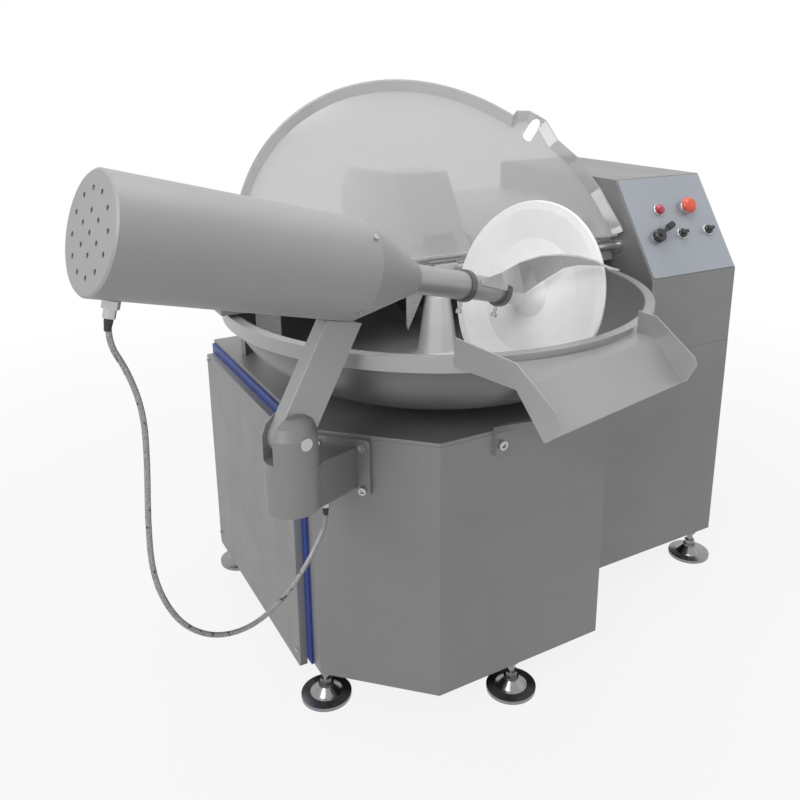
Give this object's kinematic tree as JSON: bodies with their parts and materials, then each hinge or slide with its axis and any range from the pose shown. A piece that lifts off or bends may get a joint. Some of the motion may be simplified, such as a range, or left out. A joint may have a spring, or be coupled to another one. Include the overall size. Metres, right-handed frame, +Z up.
{
  "type": "meat bowl cutter",
  "caption": "Free-standing bowl cutter with a turning bowl, knife spindle under a hood, clear lid, tilting disc discharger, chute and sloping control panel.",
  "frame": {"origin": "bottom centre of the machine's box, on the floor", "axes": "+X towards the control cabinet, +Y to the back, +Z up"},
  "size_m": [1.6086, 1.183, 1.2976],
  "materials": {
    "housing_steel": "satin",
    "panel_steel": "satin",
    "casing_steel": "satin",
    "polished_steel": "polished",
    "brushed_steel": "satin",
    "machined_steel": "satin",
    "cast_iron": "matte",
    "cast_aluminium": "matte",
    "white_plastic": "satin",
    "black_plastic": "gloss",
    "red_plastic": "gloss",
    "red_lens": "gloss",
    "clear_sheet": "gloss",
    "seal_blue": "satin",
    "belt_rubber": "matte",
    "cable_jacket": "matte"
  },
  "bodies": {
    "base": {"lower_body": "housing_steel", "base_frame": "housing_steel", "deck_plate": "housing_steel", "side_door": "housing_steel", "door_seal": "seal_blue", "body_fittings": "polished_steel", "foot_pads": "polished_steel", "foot_screws": "polished_steel", "cabinet_shell": "housing_steel", "control_panel": "panel_steel", "switch_bodies": "machined_steel", "indicator_lamp": "red_lens", "bowl_bearing_housing": "cast_iron", "shaft_bearings": "machined_steel", "bowl_gearmotor": "cast_aluminium", "spindle_arm": "cast_iron", "spindle_pedestal": "cast_iron", "drive_belts": "belt_rubber", "knife_motor": "cast_iron", "spindle_casing": "casing_steel", "cover_posts": "housing_steel", "bowl_cover": "housing_steel", "bowl_scrapers": "polished_steel", "swivel_bracket": "housing_steel", "pivot_head": "housing_steel", "pivot_pin": "polished_steel", "chute": "polished_steel", "chute_strap": "housing_steel", "cable": "cable_jacket"},
    "bowl": {"bowl": "polished_steel", "bowl_shaft": "machined_steel", "worm_wheel": "machined_steel"},
    "worm": {"worm": "machined_steel"},
    "spindle": {"knife_shaft": "machined_steel", "knives": "machined_steel", "knife_spacers": "machined_steel", "spindle_sheave": "cast_iron"},
    "motor_rotor": {"motor_sheave": "cast_iron"},
    "knife_hood": {"knife_hood": "casing_steel"},
    "lid": {"lid": "clear_sheet", "lid_shaft": "polished_steel", "lid_clamps": "polished_steel"},
    "discharger": {"swing_arm": "housing_steel", "motor_housing": "brushed_steel", "end_cap": "brushed_steel", "front_cone": "brushed_steel", "housing_fittings": "polished_steel", "carrier_tube": "polished_steel", "sleeve": "polished_steel", "clamp_collars": "black_plastic", "clamp_screws": "polished_steel", "shaft_bushes": "machined_steel", "discharge_gearmotor": "cast_aluminium", "deflector": "polished_steel"},
    "disc": {"drive_shaft": "machined_steel", "discharge_disc": "white_plastic"},
    "emergency_stop": {"emergency_stop": "red_plastic"},
    "rotary_lever": {"rotary_lever": "black_plastic"},
    "left_selector": {"left_selector": "black_plastic"},
    "right_selector": {"right_selector": "black_plastic"}
  },
  "joints": [
    {"name": "bowl_spin", "type": "hinge", "parent": "base", "child": "bowl", "pos_m": [-0.00269, 0.0625, 0.672], "axis": [0, 0, 1], "continuous": true},
    {"name": "worm_spin", "type": "hinge", "parent": "base", "child": "worm", "pos_m": [-0.00269, 0.1775, 0.447], "axis": [1, 0, 0], "continuous": true},
    {"name": "knife_spin", "type": "hinge", "parent": "base", "child": "spindle", "pos_m": [-0.00269, 0.3295, 0.872], "axis": [1, 0, 0], "continuous": true},
    {"name": "motor_spin", "type": "hinge", "parent": "base", "child": "motor_rotor", "pos_m": [0.59731, 0.2525, 0.352], "axis": [1, 0, 0], "continuous": true},
    {"name": "hood_hinge", "type": "hinge", "parent": "base", "child": "knife_hood", "pos_m": [0.04731, 0.54849, 0.877], "axis": [-1, 0, 0], "range_deg": [0, 60]},
    {"name": "lid_hinge", "type": "hinge", "parent": "base", "child": "lid", "pos_m": [0.24731, 0.0405, 0.896], "axis": [1, 0, 0], "range_deg": [0, 35]},
    {"name": "discharger_tilt", "type": "hinge", "parent": "base", "child": "discharger", "pos_m": [-0.49569, -0.2915, 0.737], "axis": [0.1949, -0.9808, 0], "range_deg": [0, 50], "deforming": ["cable"]},
    {"name": "disc_spin", "type": "hinge", "parent": "discharger", "child": "disc", "pos_m": [-0.02047, -0.19713, 0.90085], "axis": [0.9458, 0.188, -0.2649], "continuous": true},
    {"name": "stop_press", "type": "slide", "parent": "base", "child": "emergency_stop", "axis": [0, 0.8298, -0.5581], "range_m": [0, 0.006], "stiffness_N_per_m": 1500},
    {"name": "lever_turn", "type": "hinge", "parent": "base", "child": "rotary_lever", "pos_m": [0.5703, -0.02922, 0.91962], "axis": [0, -0.8298, 0.5581], "range_deg": [-60, 60]},
    {"name": "left_selector_turn", "type": "hinge", "parent": "base", "child": "left_selector", "pos_m": [0.6553, -0.02867, 0.92045], "axis": [0, -0.8298, 0.5581], "range_deg": [-45, 45]},
    {"name": "right_selector_turn", "type": "hinge", "parent": "base", "child": "right_selector", "pos_m": [0.7473, -0.02811, 0.92128], "axis": [0, -0.8298, 0.5581], "range_deg": [-45, 45]}
  ],
  "couplings": [
    {"joint": "worm_spin", "follows": "bowl_spin", "ratio": 36},
    {"joint": "motor_spin", "follows": "knife_spin", "ratio": 0.7333}
  ]
}
